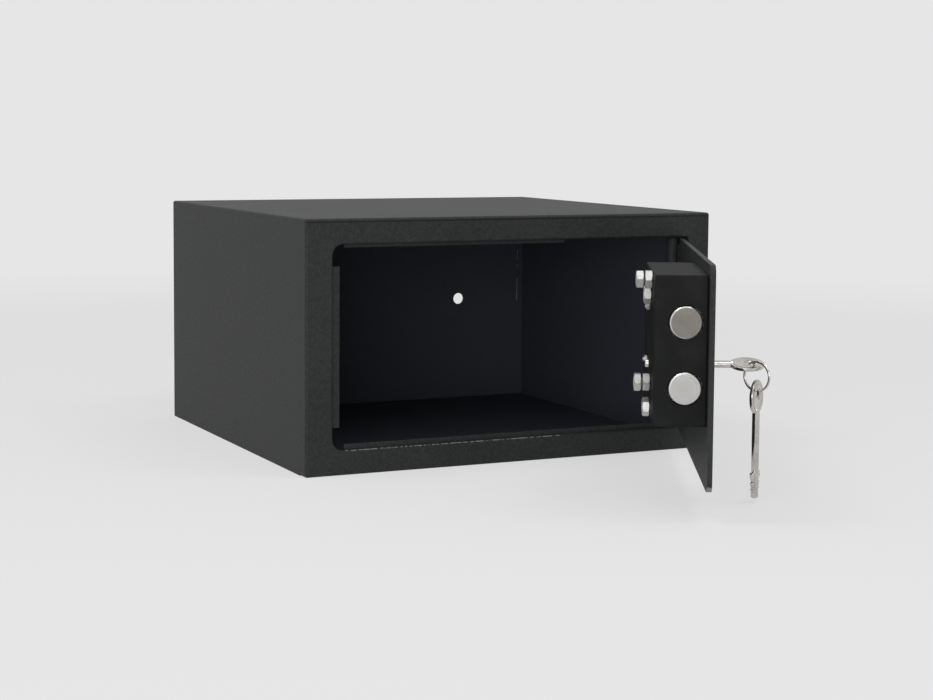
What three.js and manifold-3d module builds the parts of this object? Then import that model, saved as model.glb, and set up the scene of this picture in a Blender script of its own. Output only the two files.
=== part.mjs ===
// Furniture safe with a key-operated double-bolt door, shown with the door partly open.
// Millimetres, +Z up. The origin is the centre of the body's underside, the front faces -Y
// and the hinge is on the +X side.
import * as THREE from 'three'
import { mergeVertices } from 'three/addons/utils/BufferGeometryUtils.js'
import Module from 'manifold-3d'

const wasm = await Module()
wasm.setup()

// Body
const bodyWidth = 400
const bodyHeight = 220
const bodyDepth = 375
const bodySheet = 2
const bodyBendRadius = 2.2
const frontFlangeDepth = 14
const stileLeft = 25
const stileRight = 23
const railTop = 22
const railBottom = 21.5
const openingCornerRadius = 10
const hingeSideCornerRadius = 1
const rimDepth = 5
const rimBendRadius = 2
const rimReliefLength = 32

// Anchor holes in the back
const anchorHoleRadius = 6
const anchorHoleSpacing = 240
const backHoleHeight = 110

// Door stops, strips behind the rim of the opening
const stopSheet = 2
const stopReachLeft = 8
const stopReachTop = 3.2
const stopReachBottom = 4.5
const stopLap = 12
const stopSideNotch = 19
const stopEndNotch = 12
const stopTopFromHinge = 127

// Door
const doorAngle = 62
const doorPlate = 4
const doorGap = 1.5
const doorGapHinge = 2.5
const hingeInset = 8
const hingeSetback = 10
const tubeEndInset = 0.5

// Hinge
const pinRadius = 3
const pinHeadRadius = 5
const pinHeadHeight = 2
const pinEngagement = 12
const pinCollarHeight = 3.7
const pinRunningClearance = 0.3
const pinSeatClearance = 0.1
const bracketSheet = 3
const bracketLength = 29
const bracketDepth = 20
const bracketLegHeight = 12
const bracketRailClearance = 2

// Lock case on the inside of the door
const caseSheet = 1.5
const caseDepth = 40.5
const caseLength = 135
const caseHeight = 116
const caseAboveOpening = 50.5
const caseSetback = 12
const caseBendRadius = 2

// Round bolts
const boltRadius = 12.5
const boltLength = 36
const boltChamfer = 1.2
const boltProud = 2
const boltDepth = 21
const boltSpacing = 50.5
const boltAboveCase = 29.5
const boltThrow = 20
const boltHoleClearance = 1

// Carriage that carries the two bolts
const carriageSheet = 2.5
const carriageGap = 1
const carriageLength = 80
const carriageBelowBolts = 14.5
const carriageAboveBolts = 25
const carriageTabDrop = 10
const boltScrewRadius = 3
const boltScrewHeadAf = 10
const boltScrewHeadHeight = 4
const boltScrewGrip = 14
const boltScrewTipGap = 2
const linkScrewRadius = 1.2
const linkScrewGrip = 8
const linkHeadRadius = 2.5
const linkHeadHeight = 1.5

// Studs welded to the door, with their nuts outside the case
const studRadius = 4
const studSlotClearance = 0.5
const slotFlat = 0.1
const nutAf = 13
const nutHeight = 5.8
const nutGap = 1
const nutBoreClearance = 0.25
const nutTurn = 0.35
const studRecess = 0.5
const outerStudFromEdge = 45
const innerStudFromEdge = 59
const studTopAboveCase = 110
const studUpperAboveCase = 97
const studLowerAboveCase = 28
const studBottomAboveCase = 8.5

// Lever lock behind the keyhole
const keyFromEdge = 89
const keyAboveBolt = 9.5
const lockWidth = 58
const lockLeft = 66
const lockBelowKey = 21
const lockHeight = 80
const lockSheet = 1.5
const lockCoverExtra = 0.5
const lockFront = 18.6
const lockScrewRadius = 1.5
const lockScrewHeadRadius = 2.75
const lockScrewHeadHeight = 1.2
const lockScrewTip = 1.2
const lockNutAf = 5.5
const lockNutHeight = 2.4
const lockNutTurn = 0.2
const lockScrewSpanAcross = 24
const lockScrewLowAboveKey = 2
const lockScrewHighAboveKey = 47

// Key
const keyShaftRadius = 3
const keyOutside = 47.6
const keyInside = 48
const keyPointHeight = 1
const keyPointRadius = 1.2
const bowLength = 27.5
const bowWidth = 24
const bowThickness = 2.6
const bowHoleRadius = 3.5
const bowHoleFromEnd = 11.2
const bowShaftOverlap = 2.5
const pilotLength = 7.6
const bitLength = 13.9
const bitRadius = 8
const bitThickness = 2.4
const cutStep = 0.4
const keyCode = [3, 7, 2, 5, 8]
const keyTurn = 106
const keyholeClearance = 0.5

// Rotor, lock bolt and levers
const rotorRadius = 10.4
const rotorHubRadius = 9.2
const rotorGrip = 1.2
const crankPinRadius = 2.5
const crankLobe = 1.2
const lobeThickness = 2.2
const crankSlotClearance = 0.85
const lockBoltThickness = 2.3
const lockBoltNoseHeight = 12
const lockBoltNoseAboveKey = 10
const lockBoltMargin = 3
const stumpSize = 4
const stumpAboveKey = 18
const stumpPastKey = 10
const leverThickness = 1.4
const leverPitch = 1.8
const leverBelowKey = 16
const leverAboveKey = 47
const gateBar = 3
const fullLift = 4
const windowClearance = 0.6
const pocketClearance = 0.4
const leverCornerRadius = 3
const leverWindowRadius = 2.5
const springSheet = 0.5
const springSpan = 36
const springSideInset = 0.2

// Escutcheon on the outside
const escutcheonRadius = 16
const escutcheonThickness = 1.2

// Key ring
const ringRadius = 11.7
const ringWire = 1.6
const ringWidth = 2
const ringEdge = 0.4
const ringDrop = 9
const ringFromDoor = 41.3
const ringAside = 4.6
const ringYaw = 40
const spareYaw = 28
const spareHang = 0.6

// General fits
const seatGap = 0.3
const slideGap = 0.5

// How far a cutting tool reaches beyond what it cuts
const overcut = 1

// Values that follow from the sizes above
const front = -bodyDepth / 2
const back = bodyDepth / 2
const side = bodyWidth / 2
const openLeft = -side + stileLeft
const openRight = side - stileRight
const openBottom = railBottom
const openTop = bodyHeight - railTop
const stopFace = front + rimDepth
const hingeX = openRight - doorGapHinge - hingeInset
const hingeY = front + hingeSetback
const doorWidth = openRight - openLeft - doorGap - doorGapHinge
const doorBottom = openBottom + doorGap
const doorTop = openTop - doorGap
const tubeRadius = hingeSetback - doorPlate - seatGap
const caseFace = doorPlate + seatGap + caseDepth
const caseInner = caseFace - caseSheet
const caseBottom = openBottom + caseAboveOpening
const caseTop = caseBottom + caseHeight
const turn = THREE.MathUtils.degToRad(keyTurn)
const crankRadius = boltThrow / 2 / Math.sin(turn / 2)
const boltRear = caseSetback - boltProud + boltLength
const boltLowHeight = caseBottom + boltAboveCase
const boltHeights = [boltLowHeight, boltLowHeight + boltSpacing]
const keyHeight = boltLowHeight + keyAboveBolt
const carriageBottom = boltLowHeight - carriageBelowBolts
const carriageTop = boltLowHeight + boltSpacing + carriageAboveBolts
const studTopHeight = caseBottom + studTopAboveCase
const studUpperHeight = caseBottom + studUpperAboveCase
const studLowerHeight = caseBottom + studLowerAboveCase
const studBottomHeight = caseBottom + studBottomAboveCase
const plateFront = doorPlate + carriageGap
const plateBack = plateFront + carriageSheet
const lockRear = caseInner - seatGap
const coverBack = lockFront + lockSheet + lockCoverExtra
const bitEnd = keyInside - pilotLength
const rotorBack = bitEnd - bitLength + rotorGrip
const lockBoltFront = rotorBack + slideGap
const lockBoltBack = lockBoltFront + lockBoltThickness
const leverFront = lockBoltBack + slideGap
const screwFront = lockRear - lockSheet - lockScrewHeadHeight
const keyCuts = keyCode.map((code) => code * cutStep)
const lockBottom = keyHeight - lockBelowKey
const lockBoltNoseLow = keyHeight + lockBoltNoseAboveKey
const stumpHeight = keyHeight + stumpAboveKey
const leverBottom = keyHeight - leverBelowKey
const leverTop = keyHeight + leverAboveKey

// Materials, one for each finish
function finish(color, roughness, metalness) {
  return new THREE.MeshStandardMaterial({ color, roughness, metalness })
}

const blackPaint = () => finish(0x2b2d2c, 0.62, 0.1)
const blackCase = () => finish(0x222324, 0.5, 0.1)
const zinc = () => finish(0xc9cac6, 0.35, 0.95)
const boltSteel = () => finish(0xb4b0a8, 0.38, 0.95)
const nickel = () => finish(0xbcb9b2, 0.25, 0.95)
const rawSteel = () => finish(0x8c8d8e, 0.45, 0.9)
const brass = () => finish(0xb08d4a, 0.4, 0.9)
const springSteel = () => finish(0x6d6f73, 0.35, 0.9)

// Solid tools: a three.js geometry becomes a solid that can be joined and cut, and back
function solidOf(geometry) {
  const bare = geometry.clone()
  bare.deleteAttribute('normal')
  bare.deleteAttribute('uv')
  const merged = mergeVertices(bare, 1e-4)
  const vertProperties = new Float32Array(merged.attributes.position.array)
  const triVerts = new Uint32Array(merged.index.array)
  return new wasm.Manifold(new wasm.Mesh({ numProp: 3, vertProperties, triVerts }))
}

function geometryOf(solid) {
  const mesh = solid.getMesh()
  const geometry = new THREE.BufferGeometry()
  geometry.setAttribute('position', new THREE.BufferAttribute(new Float32Array(mesh.vertProperties), 3))
  geometry.setIndex(new THREE.BufferAttribute(new Uint32Array(mesh.triVerts), 1))
  geometry.computeVertexNormals()
  return geometry
}

function cut(base, ...tools) {
  return tools.reduce((rest, tool) => rest.subtract(tool), base)
}

function join(first, ...others) {
  return others.reduce((sum, other) => sum.add(other), first)
}

// A block between two corners
function block(x0, x1, y0, y1, z0, z1) {
  const geometry = new THREE.BoxGeometry(x1 - x0, y1 - y0, z1 - z0)
  geometry.translate((x0 + x1) / 2, (y0 + y1) / 2, (z0 + z1) / 2)
  return solidOf(geometry)
}

// A round bar or disc along X, Y or Z from one coordinate to another
function bar(axis, from, to, radius, a, b, steps = 28) {
  const geometry = new THREE.CylinderGeometry(radius, radius, to - from, steps)
  if (axis === 'x') geometry.rotateZ(-Math.PI / 2)
  if (axis === 'z') geometry.rotateX(Math.PI / 2)
  const middle = (from + to) / 2
  if (axis === 'x') geometry.translate(middle, a, b)
  if (axis === 'y') geometry.translate(a, middle, b)
  if (axis === 'z') geometry.translate(a, b, middle)
  return solidOf(geometry)
}

// A solid of revolution about an axis through the origin, from (radius, height) points
function turned(points, steps = 32) {
  const profile = points.map(([r, h]) => new THREE.Vector2(r, h))
  return new THREE.LatheGeometry(profile, steps)
}

// A flat plate lying in XZ, from y0 to y1
function plate(shape, y0, y1, curveSegments = 8) {
  const geometry = new THREE.ExtrudeGeometry(shape, { depth: y1 - y0, bevelEnabled: false, curveSegments })
  geometry.rotateX(Math.PI / 2)
  geometry.translate(0, y1, 0)
  return solidOf(geometry)
}

// A rounded rectangle as a shape, with a second radius for its right side
function roundedRect(x0, x1, z0, z1, r, rRight = r) {
  const shape = new THREE.Shape()
  shape.moveTo(x0 + r, z0)
  shape.lineTo(x1 - rRight, z0)
  shape.absarc(x1 - rRight, z0 + rRight, rRight, -Math.PI / 2, 0)
  shape.lineTo(x1, z1 - rRight)
  shape.absarc(x1 - rRight, z1 - rRight, rRight, 0, Math.PI / 2)
  shape.lineTo(x0 + r, z1)
  shape.absarc(x0 + r, z1 - r, r, Math.PI / 2, Math.PI)
  shape.lineTo(x0, z0 + r)
  shape.absarc(x0 + r, z0 + r, r, Math.PI, Math.PI * 1.5)
  return shape
}

// The points of a rounded rectangle at one depth, the same count whatever its radii
function rectLoop(x0, x1, z0, z1, rLeft, y, rRight = rLeft, steps = 6) {
  const corners = [
    [x1 - rRight, z0 + rRight, rRight, -Math.PI / 2],
    [x1 - rRight, z1 - rRight, rRight, 0],
    [x0 + rLeft, z1 - rLeft, rLeft, Math.PI / 2],
    [x0 + rLeft, z0 + rLeft, rLeft, Math.PI],
  ]
  return corners.flatMap(([cx, cz, r, start]) => Array.from({ length: steps + 1 }, (_, i) => {
    const angle = start + (Math.PI / 2) * (i / steps)
    return new THREE.Vector3(cx + r * Math.cos(angle), y, cz + r * Math.sin(angle))
  }))
}

// A closed skin through loops that follow each other round a section and meet again
function ringOfLoops(loops) {
  const count = loops[0].length
  const positions = loops.flat().flatMap((p) => [p.x, p.y, p.z])
  const index = []
  loops.forEach((_, row) => {
    const next = (row + 1) % loops.length
    for (let i = 0; i < count; i += 1) {
      const j = (i + 1) % count
      const a = row * count + i
      const b = row * count + j
      const c = next * count + i
      const d = next * count + j
      index.push(a, b, d, a, d, c)
    }
  })
  const geometry = new THREE.BufferGeometry()
  geometry.setAttribute('position', new THREE.Float32BufferAttribute(positions, 3))
  geometry.setIndex(index)
  const solid = solidOf(geometry)
  if (solid.volume() > 0) return solid
  geometry.setIndex(index.reverse())
  return solidOf(geometry)
}

// A hexagon nut or bolt head along Y, its corners chamfered, with an optional bore
function hexagon(af, y0, y1, x, z, bore, spin = 0) {
  const corner = af / Math.sqrt(3)
  const chamfer = corner - af / 2
  const prism = new THREE.CylinderGeometry(corner, corner, y1 - y0, 6)
  prism.rotateY(spin)
  const height = (y1 - y0) / 2
  const cone = turned([
    [0, -height],
    [corner - chamfer, -height],
    [corner + 0.05, -height + chamfer * 0.7],
    [corner + 0.05, height - chamfer * 0.7],
    [corner - chamfer, height],
    [0, height],
  ], 24)
  let solid = solidOf(prism).intersect(solidOf(cone)).translate([x, (y0 + y1) / 2, z])
  if (bore) solid = solid.subtract(bar('y', y0 - overcut, y1 + overcut, bore, x, z, 20))
  return solid
}

// Scene tools
const safe = new THREE.Group()

function piece(parent, name, solid, material) {
  const mesh = new THREE.Mesh(geometryOf(solid), material)
  mesh.name = name
  parent.add(mesh)
  return mesh
}

// Body: folded wrap, floor, back and front frame

function bodyWrap() {
  const r = bodyBendRadius
  const inner = bodyBendRadius - bodySheet
  const outline = new THREE.Shape()
  outline.moveTo(-side, 0)
  outline.lineTo(-side + bodySheet, 0)
  outline.lineTo(-side + bodySheet, bodyHeight - r)
  outline.absarc(-side + r, bodyHeight - r, inner, Math.PI, Math.PI / 2, true)
  outline.lineTo(side - r, bodyHeight - bodySheet)
  outline.absarc(side - r, bodyHeight - r, inner, Math.PI / 2, 0, true)
  outline.lineTo(side - bodySheet, 0)
  outline.lineTo(side, 0)
  outline.lineTo(side, bodyHeight - r)
  outline.absarc(side - r, bodyHeight - r, r, 0, Math.PI / 2)
  outline.lineTo(-side + r, bodyHeight)
  outline.absarc(-side + r, bodyHeight - r, r, Math.PI / 2, Math.PI)
  return plate(outline, front + frontFlangeDepth, back)
}

function floorPanel() {
  const x = side - bodySheet
  return block(-x, x, front + frontFlangeDepth, back, 0, bodySheet)
}

function backPanel() {
  const x = side - bodySheet
  const top = bodyHeight - bodySheet
  const corner = bodyBendRadius - bodySheet
  const outline = new THREE.Shape()
  outline.moveTo(-x, bodySheet)
  outline.lineTo(x, bodySheet)
  outline.lineTo(x, top - corner)
  outline.lineTo(x - corner, top)
  outline.lineTo(-x + corner, top)
  outline.lineTo(-x, top - corner)
  for (const s of [-1, 1]) {
    const hole = new THREE.Path()
    hole.absarc(s * anchorHoleSpacing / 2, backHoleHeight, anchorHoleRadius, 0, Math.PI * 2, true)
    outline.holes.push(hole)
  }
  return plate(outline, back - bodySheet, back, 24)
}

// One sheet: turned back over the sides outside, and turned in round the opening
function frontFrame() {
  const outer = (inset, y) => rectLoop(
    -side + inset, side - inset, inset, bodyHeight - inset, Math.max(bodyBendRadius - inset, 0.4), y)
  const inner = (outset, y) => rectLoop(
    openLeft - outset, openRight + outset, openBottom - outset, openTop + outset,
    openingCornerRadius + outset, y, hingeSideCornerRadius + outset)
  const loops = []
  const steps = 5
  loops.push(outer(0, front + frontFlangeDepth))
  for (let i = 0; i <= steps; i += 1) {
    const a = (Math.PI / 2) * (i / steps)
    loops.push(outer(bodyBendRadius * (1 - Math.cos(a)), front + bodyBendRadius * (1 - Math.sin(a))))
  }
  for (let i = 0; i <= steps; i += 1) {
    const a = (Math.PI / 2) * (i / steps)
    loops.push(inner(rimBendRadius * (1 - Math.sin(a)), front + rimBendRadius * (1 - Math.cos(a))))
  }
  loops.push(inner(0, front + rimDepth))
  loops.push(inner(bodySheet, front + rimDepth))
  loops.push(inner(bodySheet, front + bodySheet))
  loops.push(outer(bodyBendRadius, front + bodySheet))
  loops.push(outer(bodySheet, front + bodyBendRadius))
  loops.push(outer(bodySheet, front + frontFlangeDepth))
  const sheet = ringOfLoops(loops)
  const reliefStart = openRight - rimReliefLength
  const relief = block(
    reliefStart, openRight + bodySheet + overcut, front + bodySheet, front + rimDepth + overcut,
    openBottom - bodySheet - overcut, openTop + bodySheet + overcut)
  return cut(sheet, relief)
}

function stopLeft() {
  return block(
    openLeft - stopLap, openLeft + stopReachLeft, stopFace, stopFace + stopSheet,
    openBottom + stopSideNotch, openTop - stopSideNotch)
}

function stopAcross(low) {
  const from = openLeft + stopEndNotch
  const to = openRight - (low ? rimReliefLength : stopTopFromHinge)
  const inside = low ? openBottom + stopReachBottom : openTop - stopReachTop
  const outside = low ? openBottom - stopLap : openTop + stopLap
  return block(
    from, to, stopFace, stopFace + stopSheet, Math.min(inside, outside), Math.max(inside, outside))
}

// An angle behind the rail, whose flat leg holds the pin
function hingeBracket(low) {
  const sign = low ? -1 : 1
  const edge = low ? openBottom - bracketRailClearance : openTop + bracketRailClearance
  const span = (a, b) => [Math.min(a, b), Math.max(a, b)]
  const x0 = hingeX - bracketLength / 2
  const x1 = hingeX + bracketLength / 2
  const y0 = front + bodySheet
  const flat = block(x0, x1, y0, y0 + bracketDepth, ...span(edge, edge + sign * bracketSheet))
  const leg = block(x0, x1, y0, y0 + bracketSheet, ...span(edge, edge + sign * bracketLegHeight))
  const bore = bar('z', ...span(edge - sign, edge + sign * (bracketSheet + overcut)),
    pinRadius + pinSeatClearance, hingeX, hingeY)
  return cut(join(flat, leg), bore)
}

// The pin's head lies on the bracket and its end runs in the door's tube
function hingePin(low) {
  const edge = low ? openBottom - bracketRailClearance : openTop + bracketRailClearance
  const tubeEnd = low ? doorBottom + tubeEndInset : doorTop - tubeEndInset
  const sign = low ? -1 : 1
  const span = (a, b) => [Math.min(a, b), Math.max(a, b)]
  const headBase = edge + sign * bracketSheet
  const shank = bar('z', ...span(tubeEnd - sign * pinEngagement, headBase), pinRadius, hingeX, hingeY)
  const head = bar('z', ...span(headBase, headBase + sign * pinHeadHeight), pinHeadRadius, hingeX, hingeY)
  if (!low) return join(shank, head)
  const collarTop = Math.min(edge + pinCollarHeight, tubeEnd - seatGap)
  return join(shank, head, bar('z', edge, collarTop, tubeRadius, hingeX, hingeY))
}

function addBody(parent) {
  piece(parent, 'body_wrap', bodyWrap(), blackPaint())
  piece(parent, 'floor_panel', floorPanel(), blackPaint())
  piece(parent, 'back_panel', backPanel(), blackPaint())
  piece(parent, 'front_frame', frontFrame(), blackPaint())
  piece(parent, 'door_stop_left', stopLeft(), blackPaint())
  piece(parent, 'door_stop_top', stopAcross(false), blackPaint())
  piece(parent, 'door_stop_bottom', stopAcross(true), blackPaint())
  piece(parent, 'hinge_bracket_top', hingeBracket(false), blackPaint())
  piece(parent, 'hinge_bracket_bottom', hingeBracket(true), blackPaint())
  piece(parent, 'hinge_pin_top', hingePin(false), zinc())
  piece(parent, 'hinge_pin_bottom', hingePin(true), zinc())
}

// Door. In its own frame the outer face is y = 0, +Y points into the safe, the hinge edge is
// x = 0 and the free edge x = -doorWidth. A place on it is given from the free edge.
const fromEdge = (distance) => distance - doorWidth

// A keyhole that takes the shaft and both bits of the upright key
function keyholeCut(y0, y1) {
  const x = fromEdge(keyFromEdge)
  const shaft = bar('y', y0, y1, keyShaftRadius + keyholeClearance, x, keyHeight)
  const halfWidth = bitThickness / 2 + keyholeClearance
  const reach = bitRadius + keyholeClearance
  return join(shaft, block(x - halfWidth, x + halfWidth, y0, y1, keyHeight - reach, keyHeight + reach))
}

function doorPanel() {
  const outline = roundedRect(
    -doorWidth, 0, doorBottom, doorTop, openingCornerRadius - doorGap, hingeSideCornerRadius)
  return cut(plate(outline, 0, doorPlate), keyholeCut(-overcut, doorPlate + overcut))
}

function hingeTube() {
  const z0 = doorBottom + tubeEndInset
  const z1 = doorTop - tubeEndInset
  const tube = bar('z', z0, z1, tubeRadius, -hingeInset, hingeSetback)
  const bore = pinRadius + pinRunningClearance
  return cut(tube, bar('z', z0 - overcut, z1 + overcut, bore, -hingeInset, hingeSetback))
}

function escutcheon() {
  const x = fromEdge(keyFromEdge)
  const disc = bar('y', -seatGap - escutcheonThickness, -seatGap, escutcheonRadius, x, keyHeight, 40)
  return cut(disc, keyholeCut(-seatGap - escutcheonThickness - overcut, 0))
}

const studPlaces = [
  { name: 'top', edge: outerStudFromEdge, z: studTopHeight, nuts: 2 },
  { name: 'upper', edge: innerStudFromEdge, z: studUpperHeight, nuts: 1 },
  { name: 'lower', edge: innerStudFromEdge, z: studLowerHeight, nuts: 2 },
  { name: 'bottom', edge: innerStudFromEdge, z: studBottomHeight, nuts: 1 },
]

const lockScrewPlaces = [
  { name: 'low', edge: keyFromEdge + lockScrewSpanAcross / 2, z: keyHeight + lockScrewLowAboveKey },
  { name: 'high', edge: keyFromEdge - lockScrewSpanAcross / 2, z: keyHeight + lockScrewHighAboveKey },
]

// The hole in which the far end of the key's shaft runs
function pilotHole(y0, y1) {
  const radius = keyShaftRadius + keyholeClearance
  return bar('y', y0 - overcut, y1 + overcut, radius, fromEdge(keyFromEdge), keyHeight)
}

// A box folded from one sheet, open towards the door
function lockCase() {
  const x0 = fromEdge(caseSetback)
  const x1 = fromEdge(caseSetback + caseLength)
  const r = caseBendRadius
  const loop = (inset, y) => rectLoop(
    x0 + inset, x1 - inset, caseBottom + inset, caseTop - inset, Math.max(r - inset, 0.5), y)
  const y0 = doorPlate + seatGap
  const steps = 4
  const loops = [loop(0, y0)]
  for (let i = 0; i <= steps; i += 1) {
    const a = (Math.PI / 2) * (i / steps)
    loops.push(loop(r * (1 - Math.cos(a)), caseFace - r * (1 - Math.sin(a))))
  }
  const shell = closedStack(loops)
  const hollow = block(
    x0 + caseSheet, x1 - caseSheet, y0 - overcut, caseInner, caseBottom + caseSheet, caseTop - caseSheet)
  const boltHoles = boltHeights.map((z) => bar(
    'x', x0 - overcut, x0 + caseSheet + r, boltRadius + boltHoleClearance, boltDepth, z, 36))
  const studHoles = studPlaces.map((s) => bar(
    'y', caseInner - overcut, caseFace + overcut, studRadius + nutBoreClearance, fromEdge(s.edge), s.z, 20))
  const screwBore = lockScrewRadius + nutBoreClearance
  const screwHoles = lockScrewPlaces.map((s) => bar(
    'y', caseInner - overcut, caseFace + overcut, screwBore, fromEdge(s.edge), s.z, 16))
  return cut(shell, hollow, ...boltHoles, ...studHoles, ...screwHoles, pilotHole(caseInner, caseFace))
}

// A solid through loops stacked from one flat end to the other
function closedStack(loops) {
  const count = loops[0].length
  const positions = loops.flat().flatMap((p) => [p.x, p.y, p.z])
  const index = []
  for (let row = 0; row < loops.length - 1; row += 1) {
    for (let i = 0; i < count; i += 1) {
      const j = (i + 1) % count
      const a = row * count + i
      const b = row * count + j
      const c = a + count
      const d = b + count
      index.push(a, b, d, a, d, c)
    }
  }
  const last = (loops.length - 1) * count
  for (let i = 1; i < count - 1; i += 1) {
    index.push(0, i + 1, i)
    index.push(last, last + i, last + i + 1)
  }
  const geometry = new THREE.BufferGeometry()
  geometry.setAttribute('position', new THREE.Float32BufferAttribute(positions, 3))
  geometry.setIndex(index)
  const solid = solidOf(geometry)
  if (solid.volume() > 0) return solid
  geometry.setIndex(index.reverse())
  return solidOf(geometry)
}

function stud(place) {
  const end = caseFace + seatGap + place.nuts * (nutHeight + nutGap) - nutGap - studRecess
  return bar('y', doorPlate + seatGap, end, studRadius, fromEdge(place.edge), place.z, 20)
}

function studNut(place, row) {
  const y0 = caseFace + seatGap + row * (nutHeight + nutGap)
  const spin = (row + place.nuts) * nutTurn
  const bore = studRadius + nutBoreClearance
  return hexagon(nutAf, y0, y0 + nutHeight, fromEdge(place.edge), place.z, bore, spin)
}

// Lock housing: a tray against the case, and a cover plate in which the rotor runs
function lockTray() {
  const x0 = fromEdge(lockLeft)
  const x1 = fromEdge(lockLeft + lockWidth)
  const y0 = coverBack + seatGap
  const z1 = lockBottom + lockHeight
  const outside = block(x0, x1, y0, lockRear, lockBottom, z1)
  const wall = lockRear - lockSheet
  const inside = block(
    x0 + lockSheet, x1 - lockSheet, y0 - overcut, wall, lockBottom + lockSheet, z1 - lockSheet)
  const noseSlot = block(
    x0 - overcut, x0 + lockSheet + overcut, lockBoltFront - slideGap, lockBoltBack + slideGap,
    lockBoltNoseLow - slideGap, lockBoltNoseLow + lockBoltNoseHeight + slideGap)
  const screwHoles = lockScrewPlaces.map((s) => bar(
    'y', wall - overcut, lockRear + overcut, lockScrewRadius + nutBoreClearance, fromEdge(s.edge), s.z, 16))
  return cut(outside, inside, noseSlot, ...screwHoles, pilotHole(wall, lockRear))
}

function lockCover() {
  const x0 = fromEdge(lockLeft)
  const x1 = fromEdge(lockLeft + lockWidth)
  const sheet = block(x0, x1, lockFront, coverBack, lockBottom, lockBottom + lockHeight)
  const bore = rotorHubRadius + pinRunningClearance
  const x = fromEdge(keyFromEdge)
  return cut(sheet, bar('y', lockFront - overcut, coverBack + overcut, bore, x, keyHeight, 36))
}

function lockScrew(place) {
  const x = fromEdge(place.edge)
  const headBack = lockRear - lockSheet - seatGap
  const head = bar('y', screwFront, headBack, lockScrewHeadRadius, x, place.z, 20)
  const end = caseFace + seatGap + lockNutHeight + lockScrewTip
  return join(head, bar('y', headBack - 0.5, end, lockScrewRadius, x, place.z, 16))
}

function lockNut(place) {
  const y0 = caseFace + seatGap
  const bore = lockScrewRadius + nutBoreClearance
  return hexagon(lockNutAf, y0, y0 + lockNutHeight, fromEdge(place.edge), place.z, bore, lockNutTurn)
}

function addDoor(parent) {
  piece(parent, 'door_panel', doorPanel(), blackPaint())
  piece(parent, 'hinge_tube', hingeTube(), blackPaint())
  piece(parent, 'key_escutcheon', escutcheon(), nickel())
  piece(parent, 'lock_case', lockCase(), blackCase())
  for (const place of studPlaces) {
    piece(parent, `case_stud_${place.name}`, stud(place), zinc())
    for (let row = 0; row < place.nuts; row += 1) {
      piece(parent, `case_nut_${place.name}_${row + 1}`, studNut(place, row), zinc())
    }
  }
  piece(parent, 'lock_tray', lockTray(), rawSteel())
  piece(parent, 'lock_cover', lockCover(), rawSteel())
  for (const place of lockScrewPlaces) {
    piece(parent, `lock_screw_${place.name}`, lockScrew(place), zinc())
    piece(parent, `lock_nut_${place.name}`, lockNut(place), zinc())
  }
}

// Bolt work: two round bolts on a folded carriage, moved by the lock bolt

function roundBolt(z) {
  const r = boltRadius
  const c = boltChamfer
  const geometry = turned([[0, 0], [r - c, 0], [r, c], [r, boltLength], [0, boltLength]], 40)
  geometry.rotateZ(-Math.PI / 2)
  const faceX = fromEdge(caseSetback - boltProud)
  geometry.translate(faceX, boltDepth, z)
  const tap = bar('x', faceX + boltLength - boltScrewGrip, faceX + boltLength + overcut,
    boltScrewRadius + nutBoreClearance, boltDepth, z, 20)
  return cut(solidOf(geometry), tap)
}

function carriage() {
  const x0 = fromEdge(boltRear) + seatGap
  const x1 = x0 + carriageLength
  const main = block(x0, x1, plateFront, plateBack, carriageBottom, carriageTop)
  const tabTop = carriageTop - carriageTabDrop
  const tab = block(x0, x0 + carriageSheet, plateFront, boltDepth + boltRadius, carriageBottom, tabTop)
  const screwHoles = boltHeights.map((z) => bar(
    'x', x0 - overcut, x0 + carriageSheet + overcut, boltScrewRadius + nutBoreClearance, boltDepth, z, 20))
  const linkHole = bar('x', x0 - overcut, x0 + carriageSheet + overcut, linkScrewRadius + nutBoreClearance,
    (lockBoltFront + lockBoltBack) / 2, lockBoltNoseLow + lockBoltNoseHeight / 2, 16)
  const slotReach = studRadius + studSlotClearance
  const y0 = plateFront - overcut
  const y1 = plateBack + overcut
  const slots = [studUpperHeight, studLowerHeight].map((z) => {
    const x = fromEdge(innerStudFromEdge)
    const outline = roundedRect(
      x - slotReach, x + boltThrow + slotReach, z - slotReach, z + slotReach, slotReach - slotFlat)
    return plate(outline, y0, y1, 6)
  })
  const keyX = fromEdge(keyFromEdge)
  const shaftReach = keyShaftRadius + slideGap
  const shaftSlot = block(
    keyX - shaftReach, keyX + boltThrow + shaftReach, y0, y1, keyHeight - shaftReach, keyHeight + shaftReach)
  const halfBit = bitThickness / 2 + slideGap
  const bitReach = bitRadius + slideGap
  const bitX = keyX + boltThrow
  const bitSlot = block(bitX - halfBit, bitX + halfBit, y0, y1, keyHeight - bitReach, keyHeight + bitReach)
  return cut(join(main, tab), ...screwHoles, linkHole, ...slots, shaftSlot, bitSlot)
}

function boltScrew(z) {
  const x0 = fromEdge(boltRear) + seatGap + carriageSheet + seatGap
  const shankStart = fromEdge(boltRear) - boltScrewGrip + boltScrewTipGap
  const shank = bar('x', shankStart, x0 + 0.5, boltScrewRadius, boltDepth, z, 20)
  const head = hexagon(boltScrewHeadAf, 0, boltScrewHeadHeight, 0, 0, 0)
    .rotate([0, 0, -90]).translate([x0, boltDepth, z])
  return join(shank, head)
}

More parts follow.
